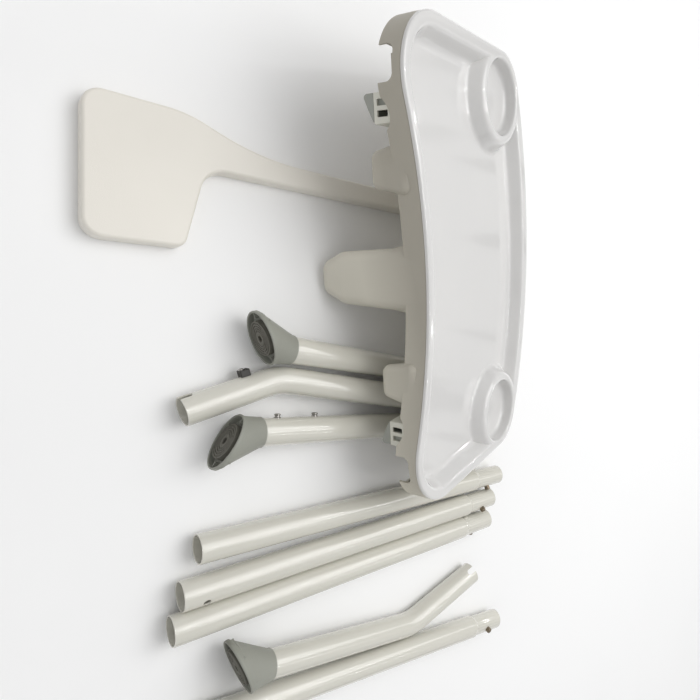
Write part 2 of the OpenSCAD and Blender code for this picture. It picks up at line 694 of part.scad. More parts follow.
frame() tray_base();
frame() tray_insert();
frame() tray_screws();
frame() latch_housing(-1);  // latch_housing_1
frame() latch_housing(1);  // latch_housing_2
frame() latch_lever(-1);  // latch_lever_1
frame() latch_lever(1);  // latch_lever_2
frame() latch_spring(-1);  // latch_spring_1
frame() latch_spring(1);  // latch_spring_2
frame() footrest();
frame() brace_clip();
frame() brace_rivet();
frame() brace_studs();
for (i = [0:3]) {
    frame() long_leg(i);
    frame() snap_button(i);
    frame() snap_spring(i);
    frame() lower_leg(i);
    frame() foot_cup(i);
    frame() foot_pad(i);
    frame() foot_screw(i);
}
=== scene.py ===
# %% [markdown]
# # A high chair, taken apart and laid out on the floor
# The tray stands on its crotch post and leans on a far corner. Round it lie the footrest, four bent
# lower legs with rubber feet and four long leg tubes. We dress a CAD model of that set: each piece is
# rebuilt with softer edges and real surface detail, exactly where the CAD model has it.

# %% Load the CAD frame
import math

import bmesh
import bpy
from mathutils import Matrix, Vector


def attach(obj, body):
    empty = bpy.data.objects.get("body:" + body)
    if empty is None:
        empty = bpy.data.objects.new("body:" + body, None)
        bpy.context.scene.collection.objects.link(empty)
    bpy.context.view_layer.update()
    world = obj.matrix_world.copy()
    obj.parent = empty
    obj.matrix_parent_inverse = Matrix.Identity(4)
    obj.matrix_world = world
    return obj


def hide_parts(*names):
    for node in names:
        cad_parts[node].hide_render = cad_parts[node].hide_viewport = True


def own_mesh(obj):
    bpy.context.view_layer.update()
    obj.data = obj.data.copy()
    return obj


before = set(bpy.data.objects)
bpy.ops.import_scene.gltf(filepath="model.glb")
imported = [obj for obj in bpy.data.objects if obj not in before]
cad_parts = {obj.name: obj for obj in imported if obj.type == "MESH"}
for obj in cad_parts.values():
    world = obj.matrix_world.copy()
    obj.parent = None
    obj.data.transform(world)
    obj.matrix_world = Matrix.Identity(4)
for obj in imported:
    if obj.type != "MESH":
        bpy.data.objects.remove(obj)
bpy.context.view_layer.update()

# %% [markdown]
# ## Working in millimetres
# The maker's drawings are in millimetres and Blender works in metres. We model every piece in its own
# simple frame in millimetres, then one matrix puts it in its place and scales it to metres.

# %% Moving and turning
MM = 0.001
MIDDLE = Vector((22.496, 348.68, 0))


def move(x, y, z):
    return Matrix.Translation((x, y, z))


def turn(degrees, axis):
    return Matrix.Rotation(math.radians(degrees), 4, axis)


def in_row(matrix):
    """From a piece's own millimetres to metres in the shared frame"""
    return Matrix.Scale(MM, 4) @ Matrix.Translation(-MIDDLE) @ matrix


# %% Where the tubes and lower legs lie
TUBE_R = 14.3
SIDE_GAP = 0.4
TUBE_HEAD = (-0.75, -2.04, -2.04, 5.6)
SECOND_X = 225.5
THIRD_X = SECOND_X + (2 * TUBE_R + SIDE_GAP) / math.cos(math.radians(TUBE_HEAD[1]))
TUBE_X = (186, SECOND_X, THIRD_X, 348)
TUBE_Y = (171, 156, 148, 168)
TUBES = [move(x, y, TUBE_R) @ turn(-h, "Z") for x, y, h in zip(TUBE_X, TUBE_Y, TUBE_HEAD)]

BEND, BEND_R, BEND_SWELL, FOOT_RUN, PLUG = 26, 60, 0.05, 190, 14
CUP_LEN, MOUTH_A, MOUTH_B, MOUTH_SHIFT, STANCE = 35, 28.4, 26, 6, 2
LEG_X = (27.5, 30, 92, 342.5)
LEG_Y = (448, 250, 416.9, 425)
LEG_HEAD = (-17.5, 163.8, 29, -17.6)
LEG_SIDE = (-1, -1, 1, -1)


def foot_roll():
    """Roll in degrees at which the rim of a foot just stands on the floor"""
    bend, stance, play = math.radians(BEND), math.radians(STANCE), 0.01
    reach = (FOOT_RUN + CUP_LEN) * math.sin(bend) + MOUTH_SHIFT * math.cos(bend)
    roll = 0
    for _ in range(16):
        drop = math.hypot(MOUTH_A * math.sin(roll) * math.cos(stance), MOUTH_B * math.cos(roll))
        roll = math.asin((drop - TUBE_R - BEND_SWELL + play) / reach)
    return math.degrees(roll)


LEG_ROLL = foot_roll()
LEGS = [
    move(x, y, TUBE_R + BEND_SWELL) @ turn(-h, "Z") @ turn(-s * LEG_ROLL, "Y") @ Matrix.Scale(-s, 4, (1, 0, 0))
    for x, y, h, s in zip(LEG_X, LEG_Y, LEG_HEAD, LEG_SIDE)
]
print("lower legs rolled by", round(LEG_ROLL, 3), "degrees")

# %% [markdown]
# The tray stands on the tip of its post and leans until one far corner touches the floor. Halving the
# range of leans again and again finds that angle.

# %% Sizes and lean of the tray
HALF_W, NEAR_Y, FAR_Y, LOBE_REACH = 250.5, -78, 193, 32
NEAR_R, FAR_R, FAR_ARC_R = 60, 51.5, 589
SKIRT_LOW, SKIRT_TOP, DECK_TOP, DECK_LOW, WALL = -30, -4.3, -20.3, -22.8, 2.5
LOBE = Vector((HALF_W - NEAR_R, NEAR_Y - LOBE_REACH + NEAR_R))
NEAR_ARC_R = (LOBE.x ** 2 + LOBE_REACH ** 2) / (2 * LOBE_REACH) - NEAR_R
NEAR_C = NEAR_Y - NEAR_ARC_R
FAR_C = FAR_Y - FAR_ARC_R
CUP_X = HALF_W - FAR_R
CUP = Vector((CUP_X, FAR_C + math.sqrt((FAR_ARC_R - FAR_R) ** 2 - CUP_X ** 2)))
POST_R = 13
POST_TIP = Vector((8, -75, -124))
TRAY_ROLL, TRAY_TURN = 9.9, 10.9


def corner_height(lean):
    """Height of the far corner over the floor when the tray leans by so many degrees"""
    roll, lean = math.radians(TRAY_ROLL), math.radians(lean)
    up = Vector((-math.sin(roll), math.cos(roll) * math.sin(lean), math.cos(roll) * math.cos(lean)))
    return up @ (Vector((*CUP, SKIRT_LOW)) - POST_TIP) + POST_R - FAR_R * up.xy.length


steep, shallow = -30, -5
for _ in range(40):
    lean = (steep + shallow) / 2
    if corner_height(lean) > 0:
        shallow = lean
    else:
        steep = lean
TRAY = (move(-73.5, 319.9, POST_R) @ turn(TRAY_TURN, "Z") @ turn(TRAY_ROLL, "Y") @ turn(lean, "X")
        @ move(*-POST_TIP))
print("the tray leans by", round(lean, 3), "degrees about", [round(c) for c in TRAY @ POST_TIP - MIDDLE], "mm")

# %% [markdown]
# ## Helpers for turned, joined and cut shapes
# Most parts here are either turned (tubes, buttons, pads) or moulded (tray, cups, latches). A turned
# part is a profile that is spun. A moulded one is easiest as a few clean solids that are joined and
# cut with Boolean operations, which give crisp lines where two forms meet.

# %% Turned shapes
FULL = 2 * math.pi


def chain(bm, points, closed=True):
    """Edges through (radius, along) points, in the plane of X and Y"""
    verts = [bm.verts.new((r, y, 0)) for r, y in points]
    pairs = zip(verts, verts[1:] + verts[:1] if closed else verts[1:])
    return verts + [bm.edges.new(pair) for pair in pairs]


def turned(points, steps=64, closed=True):
    """Solid spun about +Y from its profile"""
    bm = bmesh.new()
    bmesh.ops.spin(bm, geom=chain(bm, points, closed), axis=(0, 1, 0), angle=FULL, steps=steps, use_merge=True)
    bmesh.ops.remove_doubles(bm, verts=bm.verts, dist=0.0005)
    bmesh.ops.recalc_face_normals(bm, faces=bm.faces)
    return bm


def rod(radius, length, steps=48):
    """Plain cylinder along +Y for cutting holes"""
    bm = bmesh.new()
    bmesh.ops.create_cone(bm, cap_ends=True, segments=steps, radius1=radius, radius2=radius, depth=length,
                          matrix=turn(-90, "X") @ move(0, 0, length / 2))
    return bm


def add_box(bm, low, high, matrix=Matrix()):
    """Adds a box between two corners to a shape"""
    low, high = Vector(low), Vector(high)
    size = Matrix.Diagonal((*(high - low), 1))
    bmesh.ops.create_cube(bm, size=1, matrix=matrix @ Matrix.Translation((low + high) / 2) @ size)
    return bm


def block(low, high):
    """Box between two corners"""
    return add_box(bmesh.new(), low, high)


def pushed(bm, face, offset):
    """Solid between a flat face and its copy at an offset"""
    made = bmesh.ops.extrude_face_region(bm, geom=[face], use_keep_orig=True)
    bmesh.ops.translate(bm, verts=[v for v in made["geom"] if isinstance(v, bmesh.types.BMVert)], vec=offset)
    bmesh.ops.recalc_face_normals(bm, faces=bm.faces)
    return bm


def with_added(bm, other):
    """Lays the faces of a second shape beside those of the first"""
    mesh = bpy.data.meshes.new("working_shape")
    other.to_mesh(mesh)
    other.free()
    bm.from_mesh(mesh)
    bpy.data.meshes.remove(mesh)
    return bm


def placed(bm, matrix):
    bmesh.ops.transform(bm, matrix=matrix, verts=bm.verts)
    if matrix.determinant() < 0:
        bmesh.ops.reverse_faces(bm, faces=bm.faces)
    return bm


# %% Rounded edges, joining and cutting
def rounded(bm, radius, segments=3, sharp=30, chosen=lambda edge: True):
    """Rounds the chosen edges where two faces meet at more than the sharp angle"""
    edges = [e for e in bm.edges if e.is_manifold and e.calc_face_angle(0) > math.radians(sharp) and chosen(e)]
    bmesh.ops.bevel(bm, geom=edges, offset=radius, offset_type="OFFSET", segments=segments, profile=0.5,
                    affect="EDGES", material=-1, clamp_overlap=True)
    return bm


def combine(first, second, operation):
    """One solid joined with, cut by or kept within another"""
    shapes = []
    for source in (first, second):
        mesh = bpy.data.meshes.new("working_shape")
        source.to_mesh(mesh)
        source.free()
        shapes.append(bpy.data.objects.new("working_shape", mesh))
        bpy.context.scene.collection.objects.link(shapes[-1])
    boolean = shapes[0].modifiers.new("working_shape", "BOOLEAN")
    boolean.operation = operation
    boolean.solver = "EXACT"
    boolean.object = shapes[1]
    result = bmesh.new()
    result.from_object(shapes[0], bpy.context.evaluated_depsgraph_get())
    for shape in shapes:
        bpy.data.meshes.remove(shape.data)
    return result


def joined(first, *others):
    for other in others:
        first = combine(first, other, "UNION")
    return first


def cut(first, *others):
    for other in others:
        first = combine(first, other, "DIFFERENCE")
    return first


# %% Finishing a piece
BEVEL_FROM = math.radians(40)


def make_piece(name, bm, matrix, finish, body, *nodes, edge=0.0, sharp=35):
    """Puts a solid in its place, gives it a finish and lets it stand for CAD nodes"""
    placed(bm, in_row(matrix))
    bmesh.ops.remove_doubles(bm, verts=bm.verts, dist=1e-6)
    for e in bm.edges:
        e.smooth = e.calc_face_angle(0) < math.radians(sharp)
    mesh = bpy.data.meshes.new(name)
    bm.to_mesh(mesh)
    bm.free()
    for face in mesh.polygons:
        face.use_smooth = True
    mesh.materials.append(finish)
    piece = bpy.data.objects.new(name, mesh)
    bpy.context.scene.collection.objects.link(piece)
    if edge:
        bevel = piece.modifiers.new("soft_edges", "BEVEL")
        bevel.width = edge / 1000
        bevel.segments = 3
        bevel.limit_method = "ANGLE"
        bevel.angle_limit = BEVEL_FROM
    even = piece.modifiers.new("even_shading", "WEIGHTED_NORMAL")
    even.keep_sharp = True
    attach(piece, body)
    if nodes:
        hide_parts(*nodes)
    print(name, len(mesh.polygons), "faces")
    return piece


# %% [markdown]
# ## Finishes
# Everything here is painted steel or moulded plastic. Painted tubes are glossy with a faint ripple,
# tray and cups carry a fine moulded grain, and rubber is dull. Each finish starts from one shader and
# adds a slow drift of colour and a fine bump, both on Object coordinates, so they hold to the surface.

# %% One way to mix a finish
# Painted light: below these heights in metres the colour turns lighter, so the low post looks lit from above
PAINTED_LIGHT_BELOW, PAINTED_LIGHT_UP_TO = 0.06, 0.115
GRAIN_DEPTH, RIPPLE_DEPTH, RIPPLE_SIZE = 0.0003, 0.002, 60.0


def make_finish(name, colour, other, drift, rough, rough_to, grain=0.0, grain_size=900.0, coat=0.0, metal=0.0,
                ripple=0.0, painted_light_low=None):
    """A shader with drifting colour and roughness, a fine grain, a slow ripple and, if asked, a lighter tone painted
    low down as painted light
    """
    finish = bpy.data.materials.new(name)
    finish.use_nodes = True
    nodes, links = finish.node_tree.nodes, finish.node_tree.links
    shader = nodes["Principled BSDF"]
    shader.inputs["Metallic"].default_value = metal
    shader.inputs["Coat Weight"].default_value = coat
    shader.inputs["Coat Roughness"].default_value = 0.04
    shader.inputs["IOR"].default_value = 1.5
    place = nodes.new("ShaderNodeTexCoord").outputs["Object"]

    clouds = nodes.new("ShaderNodeTexNoise")
    clouds.inputs["Scale"].default_value = drift
    clouds.inputs["Detail"].default_value = 3
    links.new(place, clouds.inputs["Vector"])
    tint = nodes.new("ShaderNodeMix")
    tint.data_type = "RGBA"
    tint.inputs["A"].default_value = (*colour, 1)
    tint.inputs["B"].default_value = (*other, 1)
    links.new(clouds.outputs["Fac"], tint.inputs["Factor"])
    tone = tint.outputs["Result"]
    # Painted light: a lighter colour is mixed in below a height, standing in for the light the low post catches
    if painted_light_low:
        axes = nodes.new("ShaderNodeSeparateXYZ")
        links.new(place, axes.inputs["Vector"])
        fade = nodes.new("ShaderNodeMapRange")
        fade.inputs["From Min"].default_value = PAINTED_LIGHT_UP_TO
        fade.inputs["From Max"].default_value = PAINTED_LIGHT_BELOW
        links.new(axes.outputs["Z"], fade.inputs["Value"])
        painted_light_mix = nodes.new("ShaderNodeMix")
        painted_light_mix.data_type = "RGBA"
        painted_light_mix.inputs["B"].default_value = (*painted_light_low, 1)
        links.new(fade.outputs["Result"], painted_light_mix.inputs["Factor"])
        links.new(tone, painted_light_mix.inputs["A"])
        tone = painted_light_mix.outputs["Result"]
    links.new(tone, shader.inputs["Base Color"])

    dull = nodes.new("ShaderNodeMapRange")
    dull.inputs["From Min"].default_value = 0.3
    dull.inputs["From Max"].default_value = 0.7
    dull.inputs["To Min"].default_value = rough
    dull.inputs["To Max"].default_value = rough_to
    links.new(clouds.outputs["Fac"], dull.inputs["Value"])
    links.new(dull.outputs["Result"], shader.inputs["Roughness"])

    height = None
    for strength, size, depth in ((grain, grain_size, GRAIN_DEPTH), (ripple, RIPPLE_SIZE, RIPPLE_DEPTH)):
        if strength:
            noise = nodes.new("ShaderNodeTexNoise")
            noise.inputs["Scale"].default_value = size
            noise.inputs["Detail"].default_value = 2
            links.new(place, noise.inputs["Vector"])
            bump = nodes.new("ShaderNodeBump")
            bump.inputs["Strength"].default_value = strength
            bump.inputs["Distance"].default_value = depth
            links.new(noise.outputs["Fac"], bump.inputs["Height"])
            if height:
                links.new(height, bump.inputs["Normal"])
            height = bump.outputs["Normal"]
    if height:
        links.new(height, shader.inputs["Normal"])
    return finish


def shade(red, green, blue):
    """A colour as it shows on screen, 0 to 255, turned into the shader's linear numbers"""
    values = [v / 255 for v in (red, green, blue)]
    return tuple(v / 12.92 if v <= 0.04045 else ((v + 0.055) / 1.055) ** 2.4 for v in values)


# %% The finishes of this set
TRAY_GLOSS = make_finish("tray_gloss", shade(219, 218, 216), shade(213, 212, 211), 9, 0.07, 0.13, grain=0.07,
                         grain_size=260, coat=0.6, ripple=0.08)
# The tray base's crotch post is painted lighter near the floor: painted light, not a different plastic
TRAY_SATIN = make_finish("tray_satin", shade(178, 173, 161), shade(170, 165, 153), 14, 0.42, 0.52, grain=0.35,
                         grain_size=1400, painted_light_low=shade(213, 209, 196))
PAINT = make_finish("white_paint", shade(216, 214, 204), shade(210, 208, 198), 11, 0.12, 0.18, coat=0.8, ripple=0.05)
CUP_GREY = make_finish("foot_grey", shade(153, 154, 145), shade(146, 147, 138), 30, 0.5, 0.62, grain=0.45,
                       grain_size=1200)
RUBBER = make_finish("pad_rubber", shade(112, 110, 101), shade(100, 98, 90), 40, 0.62, 0.78, grain=0.4,
                     grain_size=900)
LATCH_GREY = make_finish("lever_grey", shade(160, 162, 155), shade(152, 154, 147), 40, 0.4, 0.5, grain=0.2)
LATCH_WHITE = make_finish("housing_white", shade(222, 221, 210), shade(212, 211, 200), 40, 0.38, 0.48, grain=0.15)
REST_SATIN = make_finish("footrest_satin", shade(233, 229, 220), shade(227, 223, 214), 12, 0.38, 0.48, grain=0.25,
                         grain_size=1300)
CHROME = make_finish("stud_chrome", shade(186, 184, 180), shade(160, 157, 152), 90, 0.18, 0.3, metal=1.0)
BRONZE = make_finish("button_bronze", shade(150, 138, 120), shade(122, 110, 94), 90, 0.3, 0.42, metal=1.0)
STEEL = make_finish("spring_steel", shade(170, 170, 172), shade(145, 145, 148), 120, 0.3, 0.4, metal=1.0)
BLACK_CLIP = make_finish("clip_black", shade(58, 56, 52), shade(46, 44, 41), 60, 0.45, 0.6, grain=0.3)
DARK_SCREW = make_finish("screw_dark", shade(70, 68, 64), shade(55, 53, 50), 150, 0.35, 0.5, metal=0.8)
print("finishes:", len(bpy.data.materials))

# %% [markdown]
# ## The camera
# The photograph was taken from above the layout's open side, with its top turned to the left, and it
# is cropped off its centre. The camera stands at that place, and a small shift of the lens makes up
# for the crop.

# %% Camera
PICTURE_PX, FOCAL_PX, CROP_PX = 700, 540, 100
SENSOR = 36
CAMERA_HEIGHT = 0.543
PITCH = math.radians(47)
camera_data = bpy.data.cameras.new("photo_camera")
camera_data.lens = FOCAL_PX / PICTURE_PX * SENSOR
camera_data.sensor_width = SENSOR
camera_data.shift_x = -CROP_PX / PICTURE_PX
camera_data.clip_start = 0.05
camera = bpy.data.objects.new("photo_camera", camera_data)
look = Matrix((
    (0, -1, 0),
    (math.sin(PITCH), 0, -math.cos(PITCH)),
    (math.cos(PITCH), 0, math.sin(PITCH)),
))
camera.matrix_world = move(-MIDDLE.x * MM, -MIDDLE.y * MM, CAMERA_HEIGHT) @ look.to_4x4()
bpy.context.scene.collection.objects.link(camera)
bpy.context.scene.camera = camera
print("camera at", [round(c, 3) for c in camera.matrix_world.translation])

# %% [markdown]
# ## The outline of the tray
# Seen from above, the tray is four kinds of arc that run into one another: the child's edge curves
# inwards, two lobes hold the armrests, the far corners go round the cup recesses, and the far edge is
# a long shallow bow. A single point spun round one centre after another draws exactly that.

# %% Spin the outline
NEAR_A = math.atan2(LOBE.x, LOBE.y - NEAR_C)
FAR_A = math.atan2(CUP.y - FAR_C, CUP.x)
CROWN_Z = -4.0


def outline(inset, z):
    """Flat face of the tray's outline, drawn in by inset"""
    bm = bmesh.new()
    tip = bm.verts.new((0, NEAR_C + NEAR_ARC_R + inset, z))
    bends = (((0, NEAR_C), -NEAR_A, 26), (LOBE, math.pi / 2 + NEAR_A, 26), (CUP, FAR_A, 18),
             ((0, FAR_C), math.pi / 2 - FAR_A, 26))
    for count, (centre, angle, steps) in enumerate(bends):
        if count == 2:
            made = bmesh.ops.extrude_vert_indiv(bm, verts=[tip])
            tip = made["verts"][0]
            tip.co.y = CUP.y
        made = bmesh.ops.spin(bm, geom=[tip], cent=(*centre, z), axis=(0, 0, 1), angle=angle, steps=steps)
        tip = next(v for v in made["geom_last"] if isinstance(v, bmesh.types.BMVert))
    bmesh.ops.mirror(bm, geom=bm.verts[:] + bm.edges[:], axis="X", merge_dist=0.01)
    face = bmesh.ops.contextual_create(bm, geom=bm.edges[:])["faces"][0]
    if face.normal.z < 0:
        face.normal_flip()
    return bm, face


def step_in(bm, face, steps):
    """Draws a face in and down, ring by ring; each step is (inset, rise, shift along Y)"""
    for inset, rise, shift in steps:
        if inset:
            bmesh.ops.inset_region(bm, faces=[face], thickness=inset, use_even_offset=True, use_boundary=True)
        else:
            made = bmesh.ops.extrude_discrete_faces(bm, faces=[face])
            face = made["faces"][0]
        bmesh.ops.translate(bm, verts=face.verts, vec=(0, shift, rise))
    return face


def slab(inset, low, high):
    """Upright slab of the outline between two heights"""
    return pushed(*outline(inset, low), (0, 0, high - low))


test, test_face = outline(0, 0)
print("outline points:", len(test_face.verts), "area cm2:", round(test_face.calc_area() / 100))
test.free()

# %% [markdown]
# ## The glossy insert
# The insert is one thin moulding: a soft rim, walls that slope to the food well, and a round boss at
# each far corner that holds a cup recess. We step the outline inwards for the top and again for the
# underside, bridge the two skins, then join a turned boss and cut a turned recess.

# %% Rim and well
WELL_SHIFT = -3
RIM_STEPS = (
    (0, 1.7, 0), (0.25, 0.8, 0), (0.55, 0.7, 0), (0.9, 0.45, 0), (1.3, 0.3, 0), (2.0, 0.05, 0),
    (5.5, 0, WELL_SHIFT), (1.4, -0.12, 0), (1.2, -0.45, 0), (1.0, -0.9, 0), (1.0, -1.5, 0), (1.8, -3.2, 0),
    (2.2, -4.2, 0), (1.9, -3.3, 0), (1.6, -1.9, 0), (1.6, -1.2, 0), (1.8, -0.8, 0), (2.2, -0.33, 0), (2.6, -0.1, 0),
)
UNDER_STEPS = ((3.5, 0, 0), (6.0, 0, WELL_SHIFT), (12.0, -16, 0))


def insert_shell():
    bm, top = outline(0, CROWN_Z)
    under, base = outline(0, CROWN_Z)
    step_in(bm, top, RIM_STEPS)
    step_in(under, base, UNDER_STEPS)
    bmesh.ops.reverse_faces(under, faces=under.faces)
    with_added(bm, under)
    bmesh.ops.remove_doubles(bm, verts=bm.verts, dist=0.001)
    bmesh.ops.recalc_face_normals(bm, faces=bm.faces)
    return bm


insert = insert_shell()
print("insert shell:", len(insert.faces), "faces, open edges:", sum(e.is_boundary for e in insert.edges))

# %% Boss and cup recess
RIM_W, BOSS_LOW = 7, -19.85
BOSS = ((0, -19.9), (66, -19.9), (66, -18.15), (63.5, -17.75), (61.6, -16.9), (60.2, -15.6), (58.9, -13.6),
        (56.6, -9.6), (54.4, -5.7), (53.0, -3.5), (51.6, -1.9), (50.0, -0.8), (48.2, -0.22), (46.4, -0.02),
        (0, -0.02))
RECESS = ((0, -16), (34.5, -16), (36.6, -15.7), (38.4, -14.9), (39.8, -13.6), (40.7, -11.9), (41.2, -9.5),
          (41.9, -3.4), (42.3, -1.9), (43.0, -0.9), (44.0, -0.25), (45.4, 0.03), (45.4, 5), (0, 5))
UPRIGHT = turn(90, "X")
SPOTS = [move(side * CUP.x, CUP.y, 0) @ UPRIGHT for side in (-1, 1)]
for spot in SPOTS:
    boss = combine(placed(turned(BOSS, 96, False), spot), slab(RIM_W, BOSS_LOW, 1), "INTERSECT")
    insert = joined(insert, boss)
for spot in SPOTS:
    insert = cut(insert, placed(turned(RECESS, 96, False), spot))
make_piece("glossy_insert", insert, TRAY, TRAY_GLOSS, "insert", "tray_insert", sharp=50)

# %% [markdown]
# ## The tray base
# Under the insert sits a satin shell: a skirt, a deck, the crotch post, two round humps and the
# channels that slide over the armrests. The post and humps are the skin stretched over a few spheres,
# which is what the convex hull operator does, and a flared collar softens the post's root.

# %% Skirt and deck
def skirt():
    shell = rounded(slab(0, SKIRT_LOW, SKIRT_TOP), 1.0, 3, 60)
    return cut(shell, slab(WALL, SKIRT_LOW - 2, DECK_LOW))


def stretched(*balls):
    """Skin stretched over balls, each ((x, y, z), radius)"""
    bm = bmesh.new()
    for centre, radius in balls:
        bmesh.ops.create_uvsphere(bm, u_segments=40, v_segments=24, radius=radius, matrix=move(*centre))
    bmesh.ops.delete(bm, geom=bm.edges[:] + bm.faces[:], context="EDGES_FACES")
    bmesh.ops.convex_hull(bm, input=bm.verts)
    bmesh.ops.delete(bm, geom=[v for v in bm.verts if not v.link_faces], context="VERTS")
    bmesh.ops.recalc_face_normals(bm, faces=bm.faces)
    return bm


POST_BALLS = ((22, -64, -14), (16, -75, -107), tuple(POST_TIP))
HUMP_X, HUMP_R = 110, 9
HUMP_BALLS = ((16, -82, -22), (10, -80, -51))
post = stretched(*[((side * x, y, z), POST_R) for side in (-1, 1) for x, y, z in POST_BALLS])
hump = [stretched(*[((side * HUMP_X + k * x, y, z), HUMP_R) for k in (-1, 1) for x, y, z in HUMP_BALLS])
        for side in (-1, 1)]
base = cut(joined(skirt(), post, *hump), slab(WALL, DECK_TOP, 1))
print("base so far:", len(base.faces), "faces")

# %% [markdown]
# The post grows out of the deck through a soft collar. A stadium-shaped ring is pushed down and drawn
# in step by step, like the throat of a funnel, and then joined to the rest.

# %% Collar
COLLAR_STEPS = ((-3, 1), (-2.4, 0.62), (-2.8, 0.36), (-3.8, 0.16), (-5, 0.04), (-7, -0.02))


def collar(half_w, half_t, flare, matrix):
    """Funnel-shaped collar under the deck: a stadium ring drawn in by shares of its flare as it goes down"""
    bm = bmesh.new()
    made = bmesh.ops.create_circle(bm, cap_ends=True, segments=64, radius=half_t)
    for v in made["verts"]:
        v.co.x += math.copysign(half_w - half_t, v.co.x) if abs(v.co.x) > 1e-4 else 0
    face = bm.faces[:][0]
    spread = flare
    for drop, share in COLLAR_STEPS:
        grown = spread
        spread = flare * share
        made = bmesh.ops.extrude_discrete_faces(bm, faces=[face])
        face = made["faces"][0]
        for v in face.verts:
            v.co.x *= (half_w - flare + spread) / (half_w - flare + grown)
            v.co.z += drop
    bmesh.ops.holes_fill(bm, edges=[e for e in bm.edges if e.is_boundary], sides=0)
    bmesh.ops.recalc_face_normals(bm, faces=bm.faces)
    return placed(bm, matrix)


base = joined(base, collar(47, 12, 12.5, move(0, -64.5, -22)))

# %% Armrest channels, latch notches and screw holes
CHANNEL_X, CHANNEL_HALF, CHANNEL_TOP, CHANNEL_ROUND, CHANNEL_DROP = 198, 16, -13, 8, 13
BACK_Y, REACH = NEAR_Y + 1, 60
NOTCH_X, NOTCH_R = 157, 18
NOTCH_Z = DECK_LOW - NOTCH_R - 0.4
LATCH_X, LATCH_L, LATCH_W, LATCH_H, LATCH_WALL = 164, 28, 26, 22, 2.5
LATCH_Y = NEAR_Y + 7.5 - LATCH_W / 2
SCREW_Y = 9


def channel():
    """Cutter for an armrest channel: a bar across the skirt with round upper corners"""
    bm = block((-CHANNEL_HALF, BACK_Y - REACH, SKIRT_LOW - 9), (CHANNEL_HALF, BACK_Y, CHANNEL_TOP))
    return rounded(bm, CHANNEL_ROUND, 6, 30, lambda e: all(v.co.z > CHANNEL_TOP - 1 for v in e.verts)
                   and abs(e.verts[0].co.x - e.verts[1].co.x) < 1)


for side in (-1, 1):
    x = side * CHANNEL_X
    base = joined(base, block((x - CHANNEL_HALF, BACK_Y, DECK_LOW - CHANNEL_DROP),
                              (x + CHANNEL_HALF, BACK_Y + WALL, DECK_LOW + 1.2)))
    base = cut(base, placed(channel(), move(x, 0, 0)),
               placed(rod(NOTCH_R, REACH, 64), move(side * NOTCH_X, NEAR_Y - 75, NOTCH_Z)))
    for k in (-1, 1):
        base = cut(base, placed(rod(1.7, 6, 24), move(side * LATCH_X, LATCH_Y + k * SCREW_Y, -25) @ UPRIGHT))
make_piece("tray_base_shell", base, TRAY, TRAY_SATIN, "tray", "tray_base", sharp=40)

# %% [markdown]
# ## Long leg tubes
# Each long tube has a plain open end and a swaged end, squeezed smaller so that it plugs into the next
# tube. The profile of its wall, with rolled lips and the short cone between the two diameters, is spun
# into a tube. The swage keeps the faint flats that the squeezing dies leave along it.

# %% Tube profile and holes
LONG, SWAGE, CONE, TUBE_WALL = 414, 46, 3, 1.5
BORE_R = TUBE_R - TUBE_WALL
SWAGE_R = BORE_R - 0.15
SWAGE_BORE_R = SWAGE_R - TUBE_WALL
HOLE_R = 3.58
NECK = LONG - SWAGE
BUTTON_ROLL = (24, 52, -18, 70)
BUTTON_BACK = 20
BUTTON_Y = NECK + BUTTON_BACK
TUBE_PROFILE = (
    (BORE_R, 0.45), (12.95, 0.14), (13.3, 0), (13.85, 0), (14.17, 0.14), (TUBE_R, 0.5), (TUBE_R, NECK - CONE - 0.8),
    (14.22, NECK - CONE), (13.55, NECK - 1.6), (12.86, NECK - 0.25), (12.68, NECK + 0.5), (SWAGE_R, NECK + 1.5),
    (SWAGE_R, LONG - 0.6), (12.5, LONG - 0.16), (12.2, LONG), (11.6, LONG), (11.3, LONG - 0.16),
    (SWAGE_BORE_R, LONG - 0.5), (SWAGE_BORE_R, NECK - 2), (BORE_R, NECK - CONE - 2),
)


def roll(angle):
    """Turns a piece that points along +X about the tube's axis"""
    return turn(-angle, "Y")


def radial_rod(radius, y, angle, length=30, start=0):
    """Cutter that points out of the tube at an angle"""
    return placed(rod(radius, length), roll(angle) @ move(start, y, 0) @ turn(-90, "Z"))


FLUTES, CONE_FLUTE, SWAGE_FLUTE = 22, 0.16, 0.11


def fluted(bm):
    """Presses faint lengthwise flats into the outside of the swage, and sharper ones into its cone"""
    for v in bm.verts:
        radius = math.hypot(v.co.x, v.co.z)
        if radius > 12 and NECK - 2 < v.co.y < LONG - 0.1:
            depth = CONE_FLUTE if v.co.y < NECK + 1 else SWAGE_FLUTE
            grown = 1 + depth / radius * math.cos(FLUTES * math.atan2(v.co.z, v.co.x))
            v.co.x *= grown
            v.co.z *= grown
    return bm


def long_tube(angle):
    bm = fluted(turned(TUBE_PROFILE, 6 * FLUTES))
    key = rounded(block((11.65, NECK + 1, -2), (13.85, NECK + 7, 2)), 0.8, 3)
    bm = joined(bm, placed(key, roll(angle + 180)))
    return cut(bm, radial_rod(HOLE_R, BUTTON_Y, angle), radial_rod(HOLE_R, BUTTON_BACK, angle))


for i, place in enumerate(TUBES, 1):
    make_piece(f"long_tube_{i}", long_tube(BUTTON_ROLL[i - 1]), place, PAINT, f"tube_{i}", f"long_leg_{i}", sharp=40)

# %% [markdown]
# ## Snap buttons
# A snap button is a domed pin on a leaf spring. It stands out of its hole and locks the next tube. It
# is turned, with a domed head and a flange that keeps it from falling out.

